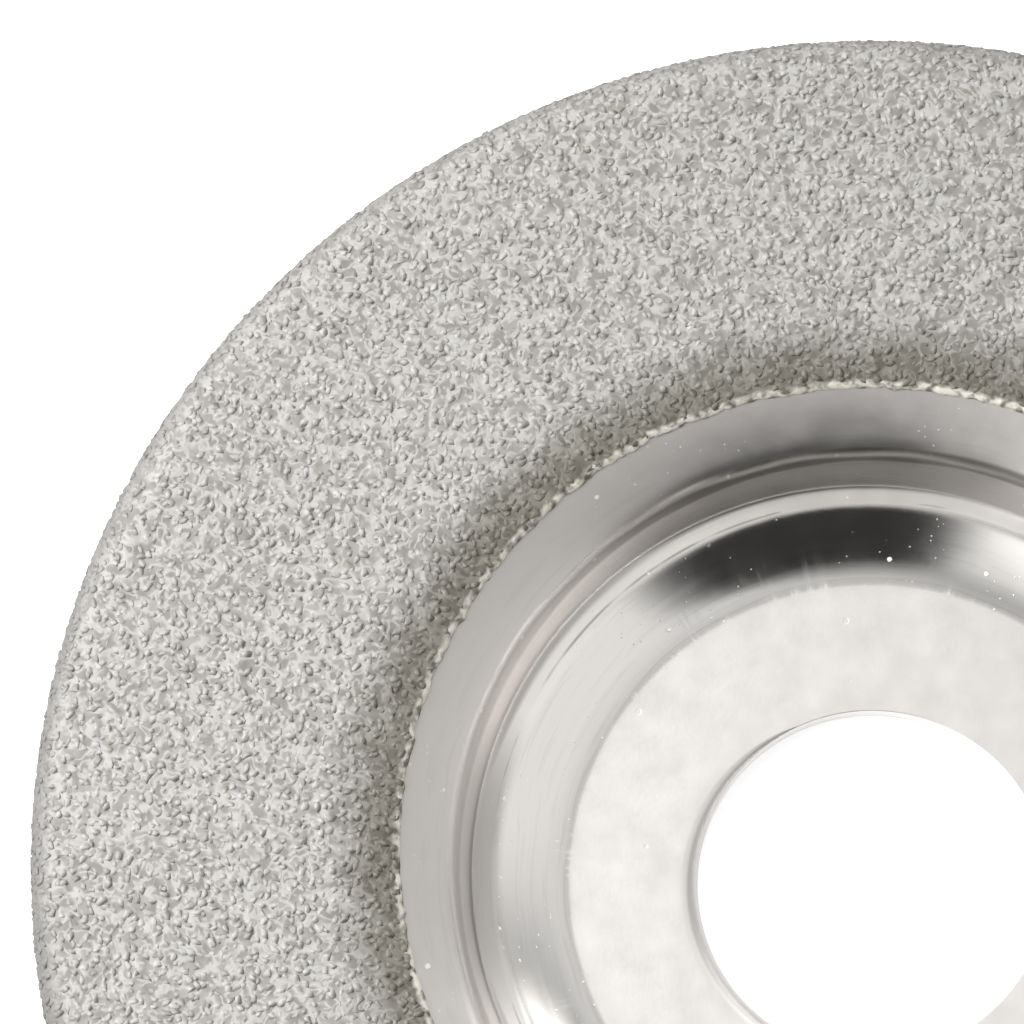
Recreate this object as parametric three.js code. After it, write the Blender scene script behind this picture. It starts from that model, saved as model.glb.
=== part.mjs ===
// Dish-shaped diamond grinding wheel, in millimetres, +Z towards the grinding face.
// The origin is on the wheel's axis, at the hub's back face, where the wheel seats on its flange.
// Two pieces: a pressed steel dish, and the nickel and diamond layer plated on its face and rim.
import * as THREE from "three";

// Driving dimensions
const OUTER_R = 50; // over the diamond layer
const OVERALL_HEIGHT = 10; // hub's back face to grinding face
const SHEET = 1.8; // thickness of the pressed blank
const ARBOR_R = 10.4; // plain hole for a 20 mm arbor
const LAYER = 0.5; // nickel bond with its grit
const SEAM = 0.03; // clearance between the dish and the layer
const FACETS = 72; // round the axis

// The dish's front, from the hub outwards
const HOLE_BREAK = 0.25; // broken edge of the arbor hole
const FLOOR_R = 18; // flat floor of the recess
const LEDGE_INNER_R = 22.2;
const LEDGE_OUTER_R = 23.5;
const LEDGE_Z = 3.8;
const KNEE_R = 24.9; // where the steep wall turns into the shoulder
const KNEE_ROUND = 0.9;
const SHOULDER_START_R = 33; // the flat outer ring begins here
const SHOULDER_ROUND = 21.1;
const RIM_ROUND = 1.5; // front corner of the rim; the back corner takes the rest of the sheet

// The dish's back
const HUB_SEAT_R = 19; // flat seat on the flange
const HUB_BEND_ROUND = 6.6;
const BACK_WALL_SLOPE = 62; // degrees
const BACK_SHOULDER_R = 31;
const BACK_SHOULDER_DROP = 1.4; // height of its curve

// The diamond layer's ends
const LAYER_INNER_R = 28.3; // on the shoulder
const LAYER_BACK_R = 46.5; // on the back of the ring

const RIGHT_ANGLE = Math.PI / 2;
const FACE_Z = OVERALL_HEIGHT - LAYER - SEAM; // bare steel of the outer ring
const RING_BACK_Z = FACE_Z - SHEET;
const RIM_BACK_ROUND = SHEET - RIM_ROUND;
const RIM_CENTRE = new THREE.Vector2(OUTER_R - LAYER - SEAM - RIM_ROUND, FACE_Z - RIM_ROUND);
const RIM_BACK_CENTRE = new THREE.Vector2(
  OUTER_R - LAYER - SEAM - RIM_BACK_ROUND,
  RING_BACK_Z + RIM_BACK_ROUND,
);
const SHOULDER_CENTRE = new THREE.Vector2(SHOULDER_START_R, FACE_Z - SHOULDER_ROUND);

// Angle, from +X, at which an arc about centre reaches a given radius from the wheel's axis, upper side.
function angleAt(centre, round, wheelR) {
  return Math.acos((wheelR - centre.x) / round);
}

// Points of an arc, both ends included.
function arc(centre, round, from, to, steps) {
  return Array.from({ length: steps + 1 }, (_, i) => {
    const angle = from + ((to - from) * i) / steps;
    return new THREE.Vector2(
      centre.x + round * Math.cos(angle),
      centre.y + round * Math.sin(angle),
    );
  });
}

// The floor's fillet: tangent to the floor at its edge and ending at the ledge's inner corner.
function recessFillet() {
  const run = LEDGE_INNER_R - FLOOR_R;
  const rise = LEDGE_Z - SHEET;
  const round = (run * run + rise * rise) / (2 * rise);
  const centre = new THREE.Vector2(FLOOR_R, SHEET + round);
  return arc(centre, round, -RIGHT_ANGLE, -Math.acos(run / round), 6);
}

// The knee between the steep wall and the shoulder, rounded by a short curve between the two.
function knee() {
  const angle = angleAt(SHOULDER_CENTRE, SHOULDER_ROUND, KNEE_R);
  const corner = arc(SHOULDER_CENTRE, SHOULDER_ROUND, angle, angle, 1)[0];
  const foot = new THREE.Vector2(LEDGE_OUTER_R, LEDGE_Z);
  const start = corner.clone().add(foot.sub(corner).setLength(KNEE_ROUND));
  const endAngle = angle - KNEE_ROUND / SHOULDER_ROUND;
  const end = arc(SHOULDER_CENTRE, SHOULDER_ROUND, endAngle, endAngle, 1)[0];
  return { points: new THREE.QuadraticBezierCurve(start, corner, end).getPoints(3), endAngle };
}

// Front of the rim, over its edge and round to its back, at a distance out from the bare steel.
function rim(out) {
  return [
    ...arc(RIM_CENTRE, RIM_ROUND + out, RIGHT_ANGLE, 0, 5),
    ...arc(RIM_BACK_CENTRE, RIM_BACK_ROUND + out, 0, -RIGHT_ANGLE, 3).slice(1),
  ];
}

// The dish's back, from the ring inwards to the hub's seat.
function dishBack() {
  const slope = THREE.MathUtils.degToRad(BACK_WALL_SLOPE);
  const bendCentre = new THREE.Vector2(HUB_SEAT_R, HUB_BEND_ROUND);
  const bend = arc(bendCentre, HUB_BEND_ROUND, slope - RIGHT_ANGLE, -RIGHT_ANGLE, 6);
  const wallTop = RING_BACK_Z - BACK_SHOULDER_DROP;
  const wallR = (z) => bend[0].x + (z - bend[0].y) / Math.tan(slope);
  const start = new THREE.Vector2(BACK_SHOULDER_R, RING_BACK_Z);
  const corner = new THREE.Vector2(wallR(RING_BACK_Z), RING_BACK_Z);
  const end = new THREE.Vector2(wallR(wallTop), wallTop);
  return [...new THREE.QuadraticBezierCurve(start, corner, end).getPoints(5), ...bend];
}

function dishProfile() {
  const turn = knee();
  return [
    new THREE.Vector2(ARBOR_R, 0),
    new THREE.Vector2(ARBOR_R, SHEET - HOLE_BREAK),
    new THREE.Vector2(ARBOR_R + HOLE_BREAK, SHEET),
    ...recessFillet(),
    new THREE.Vector2(LEDGE_OUTER_R, LEDGE_Z),
    ...turn.points,
    ...arc(SHOULDER_CENTRE, SHOULDER_ROUND, turn.endAngle, RIGHT_ANGLE, 6).slice(1),
    ...rim(0),
    ...dishBack(),
    new THREE.Vector2(ARBOR_R, 0),
  ];
}

// One face of the layer, at a distance out from the bare steel, from the shoulder to the back.
function layerFace(out) {
  const round = SHOULDER_ROUND + out;
  const first = angleAt(SHOULDER_CENTRE, SHOULDER_ROUND, LAYER_INNER_R);
  return [
    ...arc(SHOULDER_CENTRE, round, first, RIGHT_ANGLE, 4),
    ...rim(out),
    new THREE.Vector2(LAYER_BACK_R, RING_BACK_Z - out),
  ];
}

function layerProfile() {
  const outside = layerFace(SEAM + LAYER);
  return [...layerFace(SEAM).reverse(), ...outside, layerFace(SEAM).at(-1)];
}

// A closed profile turned about the wheel's axis. The lathe needs it to climb its outer side.
function turned(name, profile, material) {
  const geometry = new THREE.LatheGeometry(profile.reverse(), FACETS);
  geometry.rotateX(RIGHT_ANGLE);
  const mesh = new THREE.Mesh(geometry, material);
  mesh.name = name;
  return mesh;
}

const brightNickel = new THREE.MeshStandardMaterial({
  color: 0xcfccc7,
  metalness: 1,
  roughness: 0.25,
});
const nickelAndGrit = new THREE.MeshStandardMaterial({
  color: 0xbcb9b3,
  metalness: 0.7,
  roughness: 0.6,
});

const wheel = new THREE.Group();
wheel.name = "diamond_grinding_wheel";
wheel.add(
  turned("steel_dish", dishProfile(), brightNickel),
  turned("diamond_layer", layerProfile(), nickelAndGrit),
);

export default wheel;
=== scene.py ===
"""Looks of a dish-shaped diamond grinding wheel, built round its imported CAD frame.

Sizes in this script are millimetres in the frame's own axes, +Z towards the grinding face, and
become metres where a mesh is made. The steel dish is turned as one fine mesh. The plated layer is
its nickel bond, which is one mesh, and its grit, which is single crystals standing in the bond.
"""

import math

import bmesh
import bpy
import numpy as np
from mathutils import Matrix, Vector


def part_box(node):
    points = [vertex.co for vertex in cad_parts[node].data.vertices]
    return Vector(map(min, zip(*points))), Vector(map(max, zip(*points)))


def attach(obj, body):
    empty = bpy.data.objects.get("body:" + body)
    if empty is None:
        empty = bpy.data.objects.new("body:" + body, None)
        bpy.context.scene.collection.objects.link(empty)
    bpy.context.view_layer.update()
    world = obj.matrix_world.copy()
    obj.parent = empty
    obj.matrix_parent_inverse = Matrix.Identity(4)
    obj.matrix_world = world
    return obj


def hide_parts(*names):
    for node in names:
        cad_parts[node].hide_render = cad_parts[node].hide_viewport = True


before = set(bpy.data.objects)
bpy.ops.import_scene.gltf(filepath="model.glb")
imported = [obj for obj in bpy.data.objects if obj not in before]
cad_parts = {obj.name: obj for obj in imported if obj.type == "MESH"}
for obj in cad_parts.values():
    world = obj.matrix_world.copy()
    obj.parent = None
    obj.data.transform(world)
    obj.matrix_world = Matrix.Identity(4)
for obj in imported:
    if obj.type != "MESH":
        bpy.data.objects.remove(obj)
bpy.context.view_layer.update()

MM = 0.001
TAU = 2 * math.pi
LAYER_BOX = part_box("diamond_layer")
DISH_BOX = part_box("steel_dish")

# The dish, from the CAD frame and the same driving dimensions
OUTER_R = LAYER_BOX[1].x / MM
STEEL_R = DISH_BOX[1].x / MM
STEEL_Z = DISH_BOX[1].z / MM
SHEET = 1.8
HOLE_R = 10.4
FLOOR_R = 18.0
LEDGE_INNER_R = 22.2
LEDGE_OUTER_R = 23.5
LEDGE_Z = 3.8
LEDGE_FALL = 0.2  # the ledge leans a little towards the floor
DRAW_OFF = (-0.35, 0.15)  # the ledge was drawn this much off the axis
KNEE_R = 24.9
KNEE_ROUND = 0.9
SHOULDER_R = 33.0
SHOULDER_ROUND = 21.1
SHOULDER_LOW = STEEL_Z - SHOULDER_ROUND  # height of the shoulder arc's centre
RIM_ROUND = 1.5
RIM_BACK_ROUND = SHEET - RIM_ROUND
HUB_SEAT_R = 19.0
HUB_BEND_ROUND = 6.6
BACK_SHOULDER_R = 31.0
BACK_WALL = math.radians(62)

# The plated layer
SEAM = 0.03
LAYER = OUTER_R - STEEL_R - SEAM
BOND = 0.37  # thickness of the nickel under the crystals
LAYER_EDGE_R = 27.94  # its edge on the shoulder is a circle a little off the wheel's axis
LAYER_EDGE_OFF = (-0.26, 0.73)
LAYER_BACK_R = 46.5
GRIT_PITCH = 0.6
GRIT_SIZE = (0.25, 0.39)  # a crystal's radius before it is stretched
GRIT_LONG = (1.0, 1.5)  # its stretch one way along the surface
GRIT_NARROW = 0.82  # and the other way
GRIT_FLAT = 0.43  # and upwards
GRIT_SECTORS = 6

DISH_FACETS = 400
BOND_FACETS = 720

# The light tent: how bright it is in each direction, and the middle of its dark gap
TENT_SIDE = 0.92
TENT_ROOF = 2.4
TENT_LEFT = 1.3
TENT_TOP = 0.5
TENT_TOP_RIGHT = 0.8
TENT_GAP = 0.035
GAP_AZIMUTH = -76.5  # degrees from +X
GAP_HALF_WIDTH = (22, 38)  # degrees: fully dark inside the first, gone outside the second

# The camera
TILT = 11.55  # degrees off the wheel's axis
CAMERA_DISTANCE = 1000.0
FRAME_WIDTH = 61.0  # width of the picture at the wheel
SENSOR = 36.0

TABLE_HALF = 3000.0
TABLE_Z = -0.02

random = np.random.default_rng(7)


# ---------------------------------------------------------------- outlines and turned meshes


def arc(centre, radius, start, end, steps):
    """Points of an arc in the (radius, height) plane, both ends included, angles in degrees."""
    angle = np.radians(np.linspace(start, end, steps + 1))
    return np.stack([centre[0] + radius * np.cos(angle), centre[1] + radius * np.sin(angle)], 1)


def rounded(points, sigma, step=0.04):
    """The outline with its corners rounded by a Gaussian of width sigma along its length."""
    length = np.concatenate([[0], np.cumsum(np.hypot(*np.diff(points, axis=0).T))])
    at = np.linspace(0, length[-1], int(length[-1] / step) + 1)
    fine = np.stack([np.interp(at, length, points[:, k]) for k in (0, 1)], 1)
    reach = int(4 * sigma / step)
    kernel = np.exp(-0.5 * (np.arange(-reach, reach + 1) * step / sigma) ** 2)
    before = 2 * fine[0] - fine[reach:0:-1]
    after = 2 * fine[-1] - fine[-2 : -reach - 2 : -1]
    padded = np.concatenate([before, fine, after])
    return np.stack([np.convolve(padded[:, k], kernel / kernel.sum(), "valid") for k in (0, 1)], 1)


def thinned(points, longest, turn_deg):
    """Fewer points: one for each stretch of a given length or a given turn, whichever comes first."""
    step = np.diff(points, axis=0)
    heading = np.unwrap(np.arctan2(step[:, 1], step[:, 0]))
    turn = np.concatenate([[0], np.abs(np.diff(heading))])
    cost = np.cumsum(np.hypot(*step.T) / longest + turn / math.radians(turn_deg))
    keep = np.concatenate([[0], 1 + np.flatnonzero(np.diff(np.floor(cost))), [len(points) - 1]])
    return points[np.unique(keep)]


def waves(angle, lowest, highest, size, seed):
    """A smooth closed wave round the wheel, of given lobe counts and RMS size."""
    draw = np.random.default_rng(seed)
    lobes = np.arange(lowest, highest + 1)
    phase = draw.uniform(0, TAU, len(lobes))
    total = np.cos(np.multiply.outer(angle, lobes) + phase).sum(-1)
    return size * total / math.sqrt(len(lobes) / 2)


def bell(value, centre, width):
    return np.exp(-0.5 * ((value - centre) / width) ** 2)


def ring_mesh(name, radius, height):
    """A turned mesh from arrays [angle, outline point] of radius and height, in millimetres.

    The outline runs anticlockwise, so that the faces look out of the solid."""
    turns, rows = radius.shape
    angle = np.arange(turns) * TAU / turns
    corners = np.stack(
        [radius * np.cos(angle)[:, None], radius * np.sin(angle)[:, None], height], -1
    )
    i, j = np.meshgrid(np.arange(turns), np.arange(rows), indexing="ij")
    i2, j2 = (i + 1) % turns, (j + 1) % rows
    quads = np.stack([i * rows + j, i2 * rows + j, i2 * rows + j2, i * rows + j2], -1)
    return mesh_object(name, corners.reshape(-1, 3), quads.reshape(-1, 4))


def mesh_object(name, vertices, faces, smooth=True):
    """A Blender object from vertices in millimetres and faces that all have as many corners."""
    mesh = bpy.data.meshes.new(name)
    corners = faces.shape[1]
    mesh.vertices.add(len(vertices))
    mesh.vertices.foreach_set("co", (vertices * MM).astype(np.float32).ravel())
    mesh.loops.add(faces.size)
    mesh.loops.foreach_set("vertex_index", faces.astype(np.int32).ravel())
    mesh.polygons.add(len(faces))
    mesh.polygons.foreach_set("loop_start", np.arange(0, faces.size, corners, dtype=np.int32))
    mesh.update(calc_edges=True)
    mesh.polygons.foreach_set("use_smooth", np.full(len(faces), smooth))
    made = bpy.data.objects.new(name, mesh)
    bpy.context.scene.collection.objects.link(made)
    return made


def paint(piece, name, values):
    """A value for each vertex of a piece, which its material can read."""
    layer = piece.data.attributes.new(name, "FLOAT", "POINT")
    layer.data.foreach_set("value", np.asarray(values, dtype=np.float32).ravel())


# ---------------------------------------------------------------- the steel dish


def dish_front():
    """Front of the dish from the edge of the hole's lip to the rim's widest line."""
    run, rise = LEDGE_INNER_R - FLOOR_R, LEDGE_Z - LEDGE_FALL / 2 - SHEET
    fillet = (run * run + rise * rise) / (2 * rise)
    fillet_end = -math.degrees(math.acos(run / fillet))
    knee_angle = math.acos((KNEE_R - SHOULDER_R) / SHOULDER_ROUND)
    corner = np.array([KNEE_R, SHOULDER_LOW + SHOULDER_ROUND * math.sin(knee_angle)])
    foot = np.array([LEDGE_OUTER_R, LEDGE_Z + LEDGE_FALL / 2])
    start = corner + (foot - corner) * KNEE_ROUND / np.hypot(*(foot - corner))
    shoulder_start = math.degrees(knee_angle - KNEE_ROUND / SHOULDER_ROUND)
    shoulder = arc((SHOULDER_R, SHOULDER_LOW), SHOULDER_ROUND, shoulder_start, 90, 40)
    share = np.linspace(0, 1, 9)[:-1, None]
    knee = (1 - share) ** 2 * start + 2 * share * (1 - share) * corner + share**2 * shoulder[0]
    outline = np.concatenate([
        [[HOLE_R + 1.4, SHEET]],
        arc((FLOOR_R, SHEET + fillet), fillet, -90, fillet_end, 40),
        [foot],
        knee,
        shoulder,
        arc((STEEL_R - RIM_ROUND, STEEL_Z - RIM_ROUND), RIM_ROUND, 90, 0, 16),
    ])
    return thinned(rounded(outline, 0.17), 0.5, 3)


def dish_back():
    """Back of the dish from the rim's widest line to the hole's back edge."""
    ring_z = STEEL_Z - SHEET
    bend = arc((HUB_SEAT_R, HUB_BEND_ROUND), HUB_BEND_ROUND, math.degrees(BACK_WALL) - 90, -90, 24)
    foot_r = bend[0, 0] + (ring_z - bend[0, 1]) / math.tan(BACK_WALL)
    outline = np.concatenate([
        arc((STEEL_R - RIM_BACK_ROUND, ring_z + RIM_BACK_ROUND), RIM_BACK_ROUND, 0, -90, 8)[1:],
        [[BACK_SHOULDER_R, ring_z], [foot_r, ring_z - 0.25]],
        bend,
        [[HOLE_R + 0.15, 0]],
    ])
    corner = rounded(outline, 0.5)
    corner[:, 1] = np.clip(corner[:, 1], 0, None)
    return thinned(corner, 1.2, 5)


def lip_width(angle):
    """Width of the rolled edge of the hole, which was struck a little to one side."""
    return 0.07 + 1.06 * np.clip(np.cos(angle - math.radians(205)), 0, 1) ** 0.8


def steel_dish():
    angle = np.arange(DISH_FACETS) * TAU / DISH_FACETS
    front, back = dish_front(), dish_back()
    outline = np.concatenate([front, back])
    in_front = np.arange(len(outline)) < len(front)
    radius = np.repeat(outline[None, :, 0], DISH_FACETS, 0)
    height = np.repeat(outline[None, :, 1], DISH_FACETS, 0)
    knee = bell(radius, KNEE_R - 0.1, 0.5) * (height > LEDGE_Z) * in_front
    radius += knee * waves(angle, 5, 26, 0.04, 3)[:, None]
    drawn = bell(radius, 23.2, 1.1) * (height > SHEET + 0.8) * in_front
    radius += drawn * (DRAW_OFF[0] * np.cos(angle) + DRAW_OFF[1] * np.sin(angle))[:, None]
    walls = (bell(radius, 21.5, 2.2) + 0.6 * bell(radius, 27, 2)) * in_front
    height += walls * waves(angle, 3, 14, 0.012, 5)[:, None]
    width = lip_width(angle)[:, None]
    turn = np.radians(np.linspace(0, 90, 14))
    depth = 0.8 * width
    lip_r = HOLE_R + width * (1 - np.cos(turn))
    lip_z = SHEET - depth * (1 - np.sin(turn))
    wall_r = np.full((DISH_FACETS, 4), HOLE_R)
    wall_z = np.linspace(0.12, 1, 4) * (lip_z[:, :1] - 0.05)
    radius = np.concatenate([wall_r, lip_r, radius], 1)
    height = np.concatenate([wall_z, lip_z, height], 1)
    return ring_mesh("steel_dish_surface", radius[:, ::-1], height[:, ::-1])


# ---------------------------------------------------------------- the plated layer


def layer_edge(angle):
    """Radius of the layer's ragged edge on the shoulder."""
    off = LAYER_EDGE_OFF[0] * np.cos(angle) + LAYER_EDGE_OFF[1] * np.sin(angle)
    return LAYER_EDGE_R + off + waves(angle, 20, 90, 0.035, 11) + waves(angle, 100, 260, 0.03, 12)


def shoulder_z(radius, out):
    """Height of the shoulder's surface, or of one at a distance out from it."""
    inside = np.clip(SHOULDER_R - radius, 0, None)
    return SHOULDER_LOW + np.sqrt((SHOULDER_ROUND + out) ** 2 - inside**2)


def rim_outline(out, step):
    """The layer's way from the ring's outer edge round the rim to its end on the back."""
    ring_z = STEEL_Z - SHEET
    front = arc((STEEL_R - RIM_ROUND, STEEL_Z - RIM_ROUND), RIM_ROUND + out, 90, 0, 90 // step)
    back = arc(
        (STEEL_R - RIM_BACK_ROUND, ring_z + RIM_BACK_ROUND), RIM_BACK_ROUND + out, 0, -90, 60 // step
    )
    last = STEEL_R - RIM_BACK_ROUND
    flat = np.linspace(last, LAYER_BACK_R, 10)[1:]
    return np.concatenate([front, back[1:], np.stack([flat, np.full(len(flat), ring_z - out)], 1)])


def nickel_bond():
    """The plated nickel between the crystals: lumpy outside, with a smooth bead at its edge."""
    angle = np.arange(BOND_FACETS) * TAU / BOND_FACETS
    edge = layer_edge(angle)[:, None]
    bead_turn = np.radians(np.linspace(0, 90, 5))[None]
    top = SEAM + BOND
    bead_out = SEAM + BOND * np.sin(bead_turn) * 0.6
    bead_r = edge - 0.16 + 0.12 * (1 - np.cos(bead_turn))
    along = np.linspace(0, 1, 20)[None]
    slope_r = edge + 0.1 + (SHOULDER_R - edge - 0.1) * along
    ring = np.arange(SHOULDER_R + 0.3, STEEL_R - RIM_ROUND, 0.3)
    rim = rim_outline(top, 9)
    outside_r = np.concatenate([slope_r, spread(ring), spread(rim[:, 0])], 1)
    outside_z = np.concatenate(
        [shoulder_z(slope_r, top), spread(np.full(len(ring), STEEL_Z + top)), spread(rim[:, 1])], 1
    )
    lumps = random.normal(0, 0.035, outside_r.shape)
    lumps[:, -12:] *= 0.4
    outside_z += lumps
    outside_r += random.normal(0, 0.03, outside_r.shape)
    under = rim_outline(SEAM * 0.3, 18)[::-1]
    under_flat = np.linspace(STEEL_R - RIM_ROUND, SHOULDER_R, 6)[1:]
    back_r = edge - 0.12 + (SHOULDER_R - edge) * np.linspace(1, 0, 6)[None, 1:]
    inside_r = np.concatenate([spread(under[:, 0]), spread(under_flat), back_r], 1)
    inside_z = np.concatenate(
        [
            spread(under[:, 1]),
            spread(np.full(len(under_flat), STEEL_Z + SEAM * 0.3)),
            shoulder_z(back_r, SEAM * 0.3),
        ],
        1,
    )
    radius = np.concatenate([bead_r, outside_r, inside_r], 1)
    height = np.concatenate([shoulder_z(bead_r, bead_out), outside_z, inside_z], 1)
    piece = ring_mesh("nickel_bond", radius[:, ::-1], height[:, ::-1])
    bead = np.zeros(radius.shape)
    bead[:, : bead_r.shape[1] + 1] = 1
    paint(piece, "bead", bead[:, ::-1])
    return piece


def spread(row):
    """One outline row repeated round the bond."""
    return np.repeat(np.asarray(row)[None], BOND_FACETS, 0)


def crystal(seed):
    """A blocky crystal of radius 1: a cube with its corners and some edges cut away at random."""
    draw = np.random.default_rng(seed)
    bm = bmesh.new()
    bmesh.ops.create_cube(bm, size=1.5)
    for _ in range(7):
        normal = Vector(draw.normal(size=3)).normalized()
        around = bm.verts[:] + bm.edges[:] + bm.faces[:]
        cut = bmesh.ops.bisect_plane(
            bm, geom=around, plane_co=normal * draw.uniform(0.62, 0.85), plane_no=normal,
            clear_outer=True,
        )
        rim = [e for e in cut["geom_cut"] if isinstance(e, bmesh.types.BMEdge)]
        bmesh.ops.contextual_create(bm, geom=rim)
    bmesh.ops.triangulate(bm, faces=bm.faces[:])
    bmesh.ops.recalc_face_normals(bm, faces=bm.faces[:])
    bm.verts.index_update()
    corners = np.array([v.co[:] for v in bm.verts])
    faces = np.array([[v.index for v in f.verts] for f in bm.faces])
    bm.free()
    return corners / np.linalg.norm(corners, axis=1).max(), faces


def random_turns(count):
    """Random rotations, as an array of 3 by 3 matrices."""
    q = random.normal(size=(count, 4))
    w, x, y, z = (q / np.linalg.norm(q, axis=1)[:, None]).T
    rows = [
        [1 - 2 * (y * y + z * z), 2 * (x * y - z * w), 2 * (x * z + y * w)],
        [2 * (x * y + z * w), 1 - 2 * (x * x + z * z), 2 * (y * z - x * w)],
        [2 * (x * z - y * w), 2 * (y * z + x * w), 1 - 2 * (x * x + y * y)],
    ]
    return np.moveaxis(np.array(rows), -1, 0)


def grit_places():
    """Seats of the crystals over the whole layer: angle, radius and height of each centre."""
    out = SEAM + LAYER - GRIT_FLAT * GRIT_SIZE[1]
    rim = rim_outline(out, 3)
    flat = np.arange(26.8, STEEL_R - RIM_ROUND, 0.05)
    outline = np.concatenate([np.stack([flat, shoulder_z(flat, out)], 1), rim])
    step = np.diff(outline, axis=0)
    length = np.concatenate([[0], np.cumsum(np.hypot(*step.T))])
    lean = np.append(np.unwrap(np.arctan2(-step[:, 1], step[:, 0])), math.pi)
    seats = []
    for at in np.arange(0, length[-1], GRIT_PITCH * 0.9):
        count = int(TAU * np.interp(at, length, outline[:, 0]) / GRIT_PITCH)
        angle = (np.arange(count) + random.uniform(-0.36, 0.36, count) + random.uniform()) / count * TAU
        along = at + random.uniform(-0.36, 0.36, count) * GRIT_PITCH
        radius = np.interp(along, length, outline[:, 0])
        height = np.interp(along, length, outline[:, 1])
        tilt = np.interp(along, length, lean)
        kept = (radius > layer_edge(angle) + 0.2) & (along < length[-1] - 0.3)
        seats.append(np.stack([angle, radius, height, tilt], 1)[kept])
    return np.concatenate(seats)


def grit_pieces():
    """The crystals, as one mesh for each sector of the wheel."""
    seats = grit_places()
    shapes = [crystal(seed) for seed in range(40, 52)]
    kind = random.integers(0, len(shapes), len(seats))
    size = random.uniform(*GRIT_SIZE, len(seats))
    turn = random_turns(len(seats))
    tone = random.uniform(size=len(seats))
    angle, radius, height, lean = seats.T
    centre = np.stack([radius * np.cos(angle), radius * np.sin(angle), height], 1)
    out = np.stack([np.sin(lean) * np.cos(angle), np.sin(lean) * np.sin(angle), np.cos(lean)], 1)
    side = np.cross(out, random.normal(size=out.shape))
    side /= np.linalg.norm(side, axis=1)[:, None]
    frames = np.stack([side, np.cross(out, side), out], 1)
    stretch = np.stack(
        [random.uniform(*GRIT_LONG, len(seats)), np.full(len(seats), GRIT_NARROW),
         np.full(len(seats), GRIT_FLAT)], 1
    )
    sector = (angle % TAU / TAU * GRIT_SECTORS).astype(int)
    made = []
    for number in range(GRIT_SECTORS):
        vertices, faces, tones, first = [], [], [], 0
        for shape, (corners, triangles) in enumerate(shapes):
            mine = np.flatnonzero((sector == number) & (kind == shape))
            placed = np.einsum("nij,vj->nvi", turn[mine], corners) * size[mine, None, None]
            placed = np.einsum("nvi,nij->nvj", placed * stretch[mine, None], frames[mine])
            placed += centre[mine, None]
            offsets = first + np.arange(len(mine)) * len(corners)
            vertices.append(placed.reshape(-1, 3))
            faces.append((triangles[None] + offsets[:, None, None]).reshape(-1, 3))
            tones.append(np.repeat(tone[mine], len(corners)))
            first += len(mine) * len(corners)
        piece = mesh_object(
            f"diamond_grit_{number + 1}", np.concatenate(vertices), np.concatenate(faces)
        )
        paint(piece, "tone", np.concatenate(tones))
        made.append(piece)
    return made


# ---------------------------------------------------------------- materials


class Shader:
    """A small helper that builds one node tree."""

    def __init__(self, tree):
        self.tree = tree
        tree.nodes.clear()

    def node(self, kind, inputs=None, **settings):
        made = self.tree.nodes.new(kind)
        for key, value in settings.items():
            setattr(made, key, value)
        for key, value in (inputs or {}).items():
            if isinstance(value, bpy.types.NodeSocket):
                self.tree.links.new(value, made.inputs[key])
            else:
                made.inputs[key].default_value = value
        return made

    def math(self, operation, *values):
        made = self.node("ShaderNodeMath", dict(enumerate(values)), operation=operation)
        return made.outputs[0]

    def ramp(self, value, stops):
        """Colours or greys along a value from 0 to 1."""
        made = self.node("ShaderNodeValToRGB", {"Fac": value})
        elements = made.color_ramp.elements
        while len(elements) < len(stops):
            elements.new(0.5)
        for element, (at, colour) in zip(elements, stops):
            element.position = at
            grey = isinstance(colour, (int, float))
            element.color = (colour, colour, colour, 1) if grey else (*colour, 1)
        return made.outputs["Color"]

    def span(self, value, low, high, to_low=0.0, to_high=1.0):
        """A value's stretch from low to high, smoothly mapped and held at both ends."""
        made = self.node(
            "ShaderNodeMapRange",
            {"Value": value, "From Min": low, "From Max": high, "To Min": to_low, "To Max": to_high},
            interpolation_type="SMOOTHSTEP",
        )
        return made.outputs["Result"]

    def noise(self, where, scale, detail=2.0, roughness=0.5):
        made = self.node(
            "ShaderNodeTexNoise",
            {"Vector": where, "Scale": scale, "Detail": detail, "Roughness": roughness},
        )
        return made.outputs["Fac"]

    def mixed(self, factor, first, second):
        made = self.node("ShaderNodeMix", data_type="RGBA")
        for socket, value in ((0, factor), (6, first), (7, second)):
            if isinstance(value, bpy.types.NodeSocket):
                self.tree.links.new(value, made.inputs[socket])
            else:
                made.inputs[socket].default_value = value if socket == 0 else (*value, 1)
        return made.outputs[2]

    def place(self):
        """The shaded point in millimetres, and its distance from the wheel's axis."""
        coords = self.node("ShaderNodeTexCoord").outputs["Object"]
        scaled = self.node("ShaderNodeVectorMath", {0: coords, "Scale": 1000.0}, operation="SCALE")
        axes = self.node("ShaderNodeSeparateXYZ", {0: scaled.outputs[0]})
        flat = self.node(
            "ShaderNodeCombineXYZ", {"X": axes.outputs["X"], "Y": axes.outputs["Y"], "Z": 0.0}
        )
        radius = self.node("ShaderNodeVectorMath", {0: flat.outputs[0]}, operation="LENGTH")
        return scaled.outputs[0], radius.outputs["Value"], axes.outputs["Z"]


def material(name):
    made = bpy.data.materials.new(name)
    made.use_nodes = True
    return made, Shader(made.node_tree)


def finish_surface(shader, inputs, height, strength, distance):
    """The Principled surface with a bump, linked to the material's output."""
    bump = shader.node(
        "ShaderNodeBump", {"Height": height, "Strength": strength, "Distance": distance * MM}
    )
    surface = shader.node(
        "ShaderNodeBsdfPrincipled", {**inputs, "Normal": bump.outputs["Normal"]}
    )
    shader.node("ShaderNodeOutputMaterial", {"Surface": surface.outputs["BSDF"]})


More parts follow.
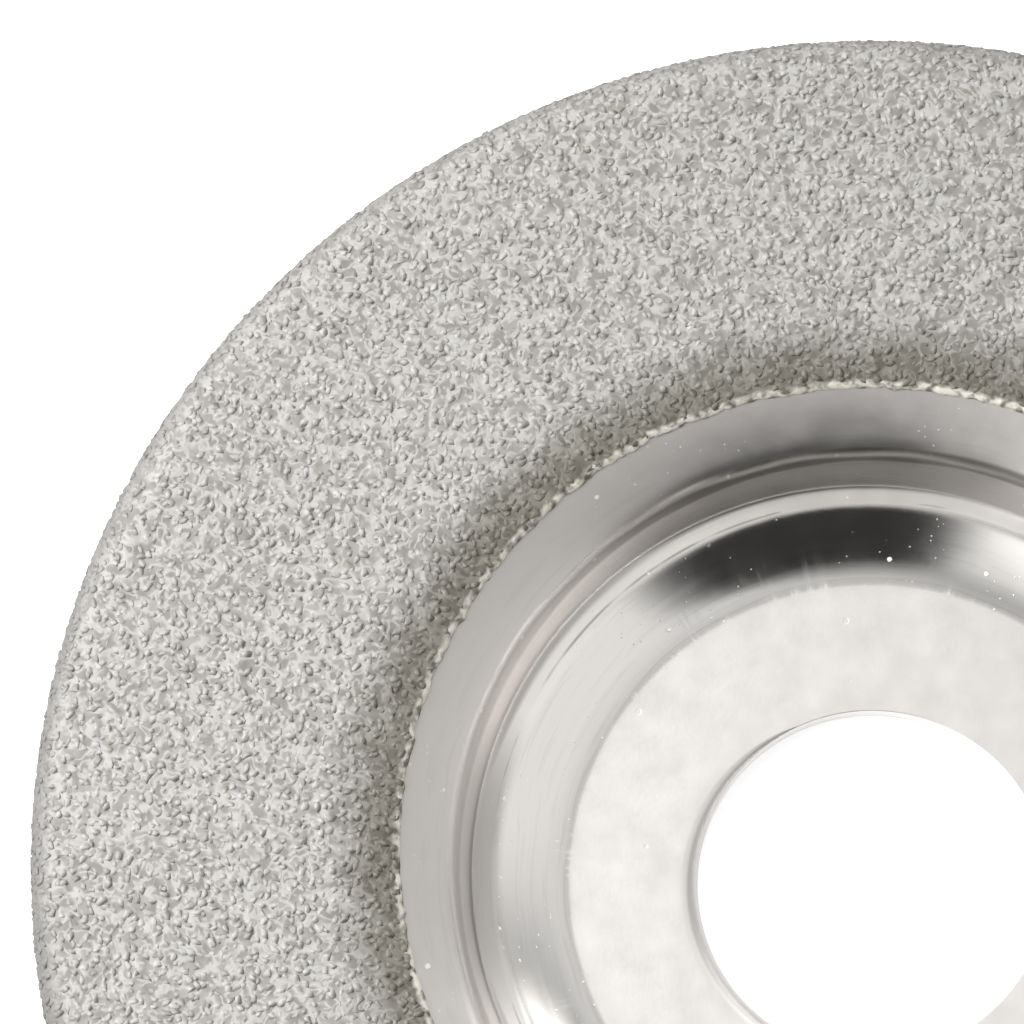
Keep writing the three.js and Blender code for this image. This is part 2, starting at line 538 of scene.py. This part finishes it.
def bright_nickel():
    """Nickel finish of the dish: satin floor and ledge, polished walls, dust, scuffs, dark marks and
    painted shade.
    """
    made, s = material("bright_nickel")
    where, radius, height = s.place()
    share = s.math("DIVIDE", radius, 50.0)
    cloud = s.noise(where, 0.5, 4.0, 0.55)
    grain = s.noise(where, 4.0, 3.0, 0.6)
    floor = s.span(radius, FLOOR_R + 0.2, FLOOR_R - 0.1)
    walls = s.math("SUBTRACT", 1.0, floor)
    lines = spun_lines(s, where, radius, height)
    rough = s.ramp(share, [
        (0.0, 0.4), (0.359, 0.4), (0.366, 0.14), (0.443, 0.14), (0.453, 0.38), (0.468, 0.38),
        (0.48, 0.3), (0.51, 0.32), (0.54, 0.36), (0.6, 0.45),
    ])
    rough = s.math("ADD", rough, s.math("MULTIPLY", s.math("SUBTRACT", cloud, 0.5), 0.12))
    colour = s.ramp(share, [
        (0.0, (0.74, 0.722, 0.704)), (0.359, (0.74, 0.722, 0.704)), (0.366, (0.81, 0.795, 0.775)),
        (0.443, (0.81, 0.795, 0.775)), (0.453, (0.97, 0.94, 0.9)), (0.466, (0.97, 0.94, 0.9)),
        (0.476, (0.85, 0.83, 0.81)), (0.494, (0.82, 0.8, 0.78)), (0.504, (0.6, 0.58, 0.56)),
        (0.56, (0.53, 0.51, 0.495)),
    ])
    fine = s.math("MULTIPLY", s.span(lines, 0.5, 0.8, 0.0, 0.16), walls)
    colour = s.mixed(fine, colour, (0.3, 0.28, 0.26))
    # painted shade and dark marks on the ledge, its foot, the knee and the wall
    colour = s.mixed(dark_marks_and_painted_shade(s, where, radius), colour, (0.15, 0.14, 0.13))
    sheared = s.math("MULTIPLY", s.span(height, SHEET - 0.02, SHEET - 0.1),
                     s.math("MULTIPLY", s.math("LESS_THAN", radius, HOLE_R + 1.5),
                            s.math("GREATER_THAN", radius, HOLE_R + 0.01)))
    colour = s.mixed(sheared, colour, (0.5, 0.49, 0.48))
    large = specks(s, where, 0.9, 0.3, 0.13)
    small = specks(s, where, 2.6, 0.35, 0.15)
    dust = s.math("MULTIPLY", s.math("MAXIMUM", large, s.math("MULTIPLY", small, 0.7)), walls)
    dust = s.math("MULTIPLY", dust, s.span(s.noise(where, 0.25, 1.0), 0.4, 0.55))
    dust = s.math("MULTIPLY", dust, s.span(radius, 24.0, 22.0, 0.45, 1.0))
    scuffed = s.math("MULTIPLY", scuffs(s, where), s.span(radius, 20.8, 18.9))
    loose = s.math("MAXIMUM", dust, s.math("MULTIPLY", s.math("MULTIPLY", scuffed, walls), 0.5))
    colour = s.mixed(loose, colour, (0.85, 0.84, 0.82))
    rough = s.math("ADD", rough, s.math("MULTIPLY", loose, 0.45))
    pits = s.math("MULTIPLY", specks(s, where, 0.5, 0.5, 0.1), floor)
    relief = s.math("ADD", s.math("MULTIPLY", s.math("MULTIPLY", lines, walls), 0.18),
                    s.math("MULTIPLY", grain, floor))
    relief = s.math("SUBTRACT", relief, s.math("MULTIPLY", pits, 1.5))
    relief = s.math("ADD", relief, s.math("MULTIPLY", dust, 1.5))
    finish_surface(s, {"Base Color": colour, "Roughness": rough, "Metallic": 1.0}, relief, 0.25, 0.02)
    return made


def dark_marks_and_painted_shade(s, where, radius):
    """Dark marks and painted shade, fitted to the photo: painted shade on the ledge, at its foot, along
    the knee and on the wall; a darker band on the ledge at the wheel's far left; a thin dark line round
    the ledge.

    All but the thin line round the ledge change in strength from the wheel's left to its right."""
    unit = s.node("ShaderNodeVectorMath", {0: where}, operation="NORMALIZE").outputs[0]
    axes = s.node("ShaderNodeSeparateXYZ", {0: unit})
    side = s.span(axes.outputs["X"], -0.88, -0.985)
    ledge = s.math("MULTIPLY", s.span(radius, 21.9, 22.8), s.span(radius, 24.15, 23.85))
    # darker band on the ledge at the wheel's far left
    left_ledge_dark = s.math("MULTIPLY", s.math("MULTIPLY", side, ledge), 0.58)
    # painted shade on the ledge: none at the wheel's left, strongest from its top to its right
    wear_and_shade = s.math("MULTIPLY", ledge, s.span(axes.outputs["X"], -0.6, -0.1, 0.0, 0.34))
    left_ledge_dark = s.math("MAXIMUM", left_ledge_dark, wear_and_shade)
    # painted shade in the concave corner at the ledge's foot, stronger towards the wheel's left
    foot = s.math("MULTIPLY", s.span(radius, 23.2, 23.6), s.span(radius, 24.1, 23.7))
    foot = s.math("MULTIPLY", foot, s.span(axes.outputs["X"], -0.3, -0.8, 0.0, 0.5))
    wear = s.span(s.noise(where, 0.25, 1.0), 0.35, 0.6)
    line = s.math("MULTIPLY", s.span(radius, 22.62, 22.74), s.span(radius, 22.88, 22.76))
    line = s.math("MULTIPLY", s.math("MULTIPLY", line, wear), 0.6)
    # painted shade along the knee, stronger away from the wheel's left
    knee = s.math("MULTIPLY", s.span(radius, 24.45, 24.65), s.span(radius, 25.3, 25.05))
    knee = s.math("MULTIPLY", knee, s.span(axes.outputs["X"], -0.9, -0.4, 0.35, 0.82))
    # painted shade on the steep wall above the ledge, none at the wheel's far left
    wall = s.math("MULTIPLY", s.span(radius, 23.35, 23.6), s.span(radius, 25.0, 24.7))
    wall = s.math("MULTIPLY", wall, s.span(axes.outputs["X"], -0.85, -0.4, 0.0, 0.42))
    marks = s.math("MAXIMUM", s.math("MAXIMUM", left_ledge_dark, foot), s.math("MAXIMUM", line, knee))
    return s.math("MAXIMUM", marks, wall)


def spun_lines(s, where, radius, height):
    """Fine lines that run round the wheel and wander a little."""
    wander = s.math("MULTIPLY", s.noise(where, 0.12, 1.0), 4.0)
    across = s.node("ShaderNodeCombineXYZ", {
        "X": s.math("ADD", s.math("MULTIPLY", radius, 3.5), wander),
        "Y": s.math("MULTIPLY", height, 3.5),
        "Z": wander,
    })
    return s.noise(across.outputs[0], 1.0, 3.0, 0.55)


def scuffs(s, where):
    """Short soft radial marks: noise that changes quickly with the angle only."""
    way = s.node("ShaderNodeVectorMath", {0: where, 1: (1.0, 1.0, 0.15)}, operation="MULTIPLY")
    unit = s.node("ShaderNodeVectorMath", {0: way.outputs[0]}, operation="NORMALIZE")
    marks = s.span(s.noise(unit.outputs[0], 34.0, 3.0, 0.7), 0.5, 0.8)
    return s.math("MULTIPLY", marks, s.span(s.noise(where, 0.4, 1.0), 0.4, 0.65))


def specks(s, where, density, share, size):
    """Spots of 1 in a share of the cells of a random pattern, with a size in cells."""
    cells = s.node("ShaderNodeTexVoronoi", {"Vector": where, "Scale": density, "Randomness": 1.0})
    draw = s.node("ShaderNodeSeparateColor", {0: cells.outputs["Color"]}).outputs[0]
    edge = s.math("MULTIPLY", s.noise(where, 2.5 * density, 1.0), 2.0 * size)
    spot = s.span(s.math("SUBTRACT", cells.outputs["Distance"], edge), 0.0, -0.4 * size)
    return s.math("MULTIPLY", spot, s.math("LESS_THAN", draw, share))


def squiggles(s, where):
    """Short winding ridges, soft at their edges: where either of two warped noises is near 0.5."""
    total = None
    for shift, scale in ((0.0, 0.9), (31.0, 1.15)):
        moved = s.node(
            "ShaderNodeVectorMath", {0: where, 1: (shift, shift, 0.0)}, operation="ADD"
        ).outputs[0]
        field = s.node("ShaderNodeTexNoise", {
            "Vector": moved, "Scale": scale, "Detail": 0.0, "Distortion": 0.9,
        }).outputs["Fac"]
        ridge = s.span(s.math("ABSOLUTE", s.math("SUBTRACT", field, 0.5)), 0.15, 0.0)
        total = ridge if total is None else s.math("MAXIMUM", total, ridge)
    broken = s.span(s.noise(where, 1.6, 1.0), 0.36, 0.5)
    return s.math("MULTIPLY", total, broken)


def layer_tint_and_shade(s, where, colour):
    """The plated layer's colour at a point: painted shade with an olive tint on the shoulder near its
    edge, where it slopes into the recess, and painted shade on the outer rim.
    """
    middle = (LAYER_EDGE_OFF[0], LAYER_EDGE_OFF[1], 0.0)
    off = s.node("ShaderNodeVectorMath", {0: where, 1: middle}, operation="SUBTRACT").outputs[0]
    flat = s.node("ShaderNodeVectorMath", {0: off, 1: (1.0, 1.0, 0.0)}, operation="MULTIPLY")
    distance = s.node("ShaderNodeVectorMath", {0: flat.outputs[0]}, operation="LENGTH")
    rim = s.span(distance.outputs["Value"], 47.6, 49.9)
    patchy = s.math("MULTIPLY", s.math("SUBTRACT", s.noise(where, 0.5, 2.0), 0.5), 3.0)
    reach = s.math("ADD", distance.outputs["Value"], patchy)
    # painted shade with an olive tint, on the shoulder's slope into the recess
    dark = s.span(reach, 32.8, 28.6)
    shade = s.node("ShaderNodeMix", data_type="RGBA", blend_type="MULTIPLY")
    s.tree.links.new(dark, shade.inputs[0])
    s.tree.links.new(colour, shade.inputs[6])
    shade.inputs[7].default_value = (0.5, 0.485, 0.43, 1)
    # painted shade on the outer rim
    return s.mixed(s.math("MULTIPLY", rim, 0.95), shade.outputs[2], (0.18, 0.175, 0.169))


def plated_nickel():
    """Rough nickel of the bond: painted shade in its hollows and painted highlight along its ridges,
    with a bright bead at its edge.
    """
    made, s = material("plated_nickel")
    where, _, _ = s.place()
    ridges = squiggles(s, where)
    lumps = s.noise(where, 1.1, 1.0, 0.5)
    # painted shade: darker where the lumps dip, in the hollows of the relief
    base = s.mixed(s.span(lumps, 0.35, 0.65), (0.235, 0.226, 0.211), (0.312, 0.304, 0.292))
    # painted highlight: brighter along the winding ridges
    base = s.mixed(s.math("MULTIPLY", ridges, 0.7), base, (0.48, 0.472, 0.46))
    bead = s.node("ShaderNodeAttribute", attribute_name="bead").outputs["Fac"]
    wear_and_shade = s.math("MULTIPLY", bead, s.span(s.noise(where, 1.5, 2.0), 0.3, 0.6))
    colour = s.mixed(wear_and_shade, layer_tint_and_shade(s, where, base), (0.66, 0.64, 0.58))
    rough = s.math("ADD", 0.7, s.math("MULTIPLY", lumps, 0.15))
    relief = s.math("ADD", lumps, s.math("MULTIPLY", ridges, 0.3))
    finish_surface(s, {"Base Color": colour, "Roughness": rough, "Metallic": 0.65}, relief, 0.22, 0.18)
    return made


def diamond_in_nickel():
    """Crystals under a thin skin of nickel, each with its own tone and a painted highlight along
    winding ridges; a few are bare and olive.
    """
    made, s = material("diamond_in_nickel")
    where, _, _ = s.place()
    tone = s.node("ShaderNodeAttribute", attribute_name="tone").outputs["Fac"]
    ridges = squiggles(s, where)
    base = s.ramp(tone, [
        (0.0, (0.24, 0.227, 0.185)), (0.05, (0.275, 0.266, 0.246)), (0.5, (0.31, 0.302, 0.29)),
        (1.0, (0.35, 0.342, 0.331)),
    ])
    # painted highlight: brighter along the winding ridges
    base = s.mixed(s.math("MULTIPLY", ridges, 0.65), base, (0.48, 0.472, 0.46))
    fine = s.noise(where, 1.6, 1.0, 0.5)
    rough = s.math("ADD", 0.7, s.math("MULTIPLY", fine, 0.15))
    relief = s.math("ADD", s.math("MULTIPLY", fine, 0.5), s.math("MULTIPLY", ridges, 0.4))
    inputs = {"Base Color": layer_tint_and_shade(s, where, base), "Roughness": rough, "Metallic": 0.6}
    finish_surface(s, inputs, relief, 0.15, 0.12)
    return made


def pale_floor():
    """A self-lit white table, as is used to photograph small parts."""
    made, s = material("pale_floor")
    where, _, _ = s.place()
    colour = s.mixed(s.noise(where, 0.02), (0.45, 0.45, 0.45), (0.42, 0.42, 0.42))
    surface = s.node("ShaderNodeBsdfPrincipled", {
        "Base Color": colour, "Roughness": 0.9, "Emission Color": (1, 1, 1, 1),
        "Emission Strength": 0.72,
    })
    s.node("ShaderNodeOutputMaterial", {"Surface": surface.outputs["BSDF"]})
    return made


# ---------------------------------------------------------------- stage, light and camera


def studio_floor():
    signs = ((-1, -1), (1, -1), (1, 1), (-1, 1))
    corners = np.array([[x * TABLE_HALF, y * TABLE_HALF, TABLE_Z] for x, y in signs])
    floor = mesh_object("studio_floor", corners, np.array([[0, 1, 2, 3]]), False)
    floor.data.materials.append(pale_floor())


def light_tent():
    """A white tent with a dark gap on the camera's side, fitted to the photo's reflections."""
    world = bpy.data.worlds.new("light_tent")
    world.use_nodes = True
    bpy.context.scene.world = world
    s = Shader(world.node_tree)
    way = s.node("ShaderNodeTexCoord").outputs["Generated"]
    axes = s.node("ShaderNodeSeparateXYZ", {0: way})
    x, y = axes.outputs["X"], axes.outputs["Y"]
    across = s.math("SQRT", s.math("ADD", s.math("MULTIPLY", x, x), s.math("MULTIPLY", y, y)))
    turned = math.radians(GAP_AZIMUTH)
    towards = s.math("ADD", s.math("MULTIPLY", x, math.cos(turned)),
                     s.math("MULTIPLY", y, math.sin(turned)))
    facing = s.math("DIVIDE", towards, s.math("MAXIMUM", across, 0.001))
    dark_to, lit_from = (math.cos(math.radians(half)) for half in GAP_HALF_WIDTH)
    wedge = s.span(facing, lit_from, dark_to)
    gap = s.math("MULTIPLY", wedge, s.span(across, -0.06, 0.42))
    roof = s.math("MULTIPLY", s.span(y, 0.4, 0.6), s.span(y, 0.97, 0.75))
    left = s.span(x, -0.25, -0.5)
    side = s.span(y, 0.05, 0.4, TENT_SIDE, 0.6 * TENT_SIDE)
    lit = s.math("ADD", side, s.math("MULTIPLY", roof, TENT_ROOF - 0.6 * TENT_SIDE))
    lit = s.math("ADD", lit, s.math("MULTIPLY", left, TENT_LEFT - TENT_SIDE))
    top = s.span(across, 0.6, 0.1)
    lit = s.math("ADD", s.math("MULTIPLY", lit, s.math("SUBTRACT", 1.0, top)),
                 s.math("MULTIPLY", top, s.span(x, -0.1, 0.25, TENT_TOP, TENT_TOP_RIGHT)))
    strength = s.math("ADD", s.math("MULTIPLY", lit, s.math("SUBTRACT", 1.0, gap)),
                      s.math("MULTIPLY", gap, TENT_GAP))
    back = s.node("ShaderNodeBackground", {"Color": (1.0, 0.99, 0.975, 1), "Strength": strength})
    s.node("ShaderNodeOutputWorld", {"Surface": back.outputs[0]})


def softbox(name, place, size, power):
    """A square area light that looks at the wheel."""
    lamp = bpy.data.lights.new(name, "AREA")
    lamp.size, lamp.energy = size, power
    made = bpy.data.objects.new(name, lamp)
    made.location = place
    made.rotation_mode = "QUATERNION"
    made.rotation_quaternion = Vector(place).to_track_quat("Z", "Y")
    bpy.context.scene.collection.objects.link(made)


def photographer():
    """The camera, nearly above the wheel, with a long lens that takes in its upper left quarter."""
    elevation = math.radians(90 - TILT)
    aim_right, aim_up = -21.45, 22.4  # of the wheel's axis, in the picture's plane
    back = Vector((0, -math.cos(elevation), math.sin(elevation)))
    right = Vector((1, 0, 0))
    up = back.cross(right)
    lens = bpy.data.cameras.new("camera")
    lens.sensor_width = SENSOR
    lens.lens = SENSOR * CAMERA_DISTANCE / FRAME_WIDTH
    lens.clip_start, lens.clip_end = 0.05, 20
    camera = bpy.data.objects.new("camera", lens)
    spot = (right * aim_right + up * aim_up + back * CAMERA_DISTANCE) * MM
    camera.matrix_world = Matrix.Translation(spot) @ Matrix((right, up, back)).transposed().to_4x4()
    bpy.context.scene.collection.objects.link(camera)
    bpy.context.scene.camera = camera


# ---------------------------------------------------------------- the scene

photographer()
light_tent()
softbox("left_softbox", (-0.21, 0.02, 0.21), 0.16, 1.15)
studio_floor()

dish = steel_dish()
dish.data.materials.append(bright_nickel())
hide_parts("steel_dish")
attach(dish, "root")

bond = nickel_bond()
bond.data.materials.append(plated_nickel())
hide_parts("diamond_layer")
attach(bond, "root")

grit_material = diamond_in_nickel()
for grit in grit_pieces():
    grit.data.materials.append(grit_material)
    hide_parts("diamond_layer")
    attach(grit, "root")

bpy.context.scene.view_settings.view_transform = "Standard"
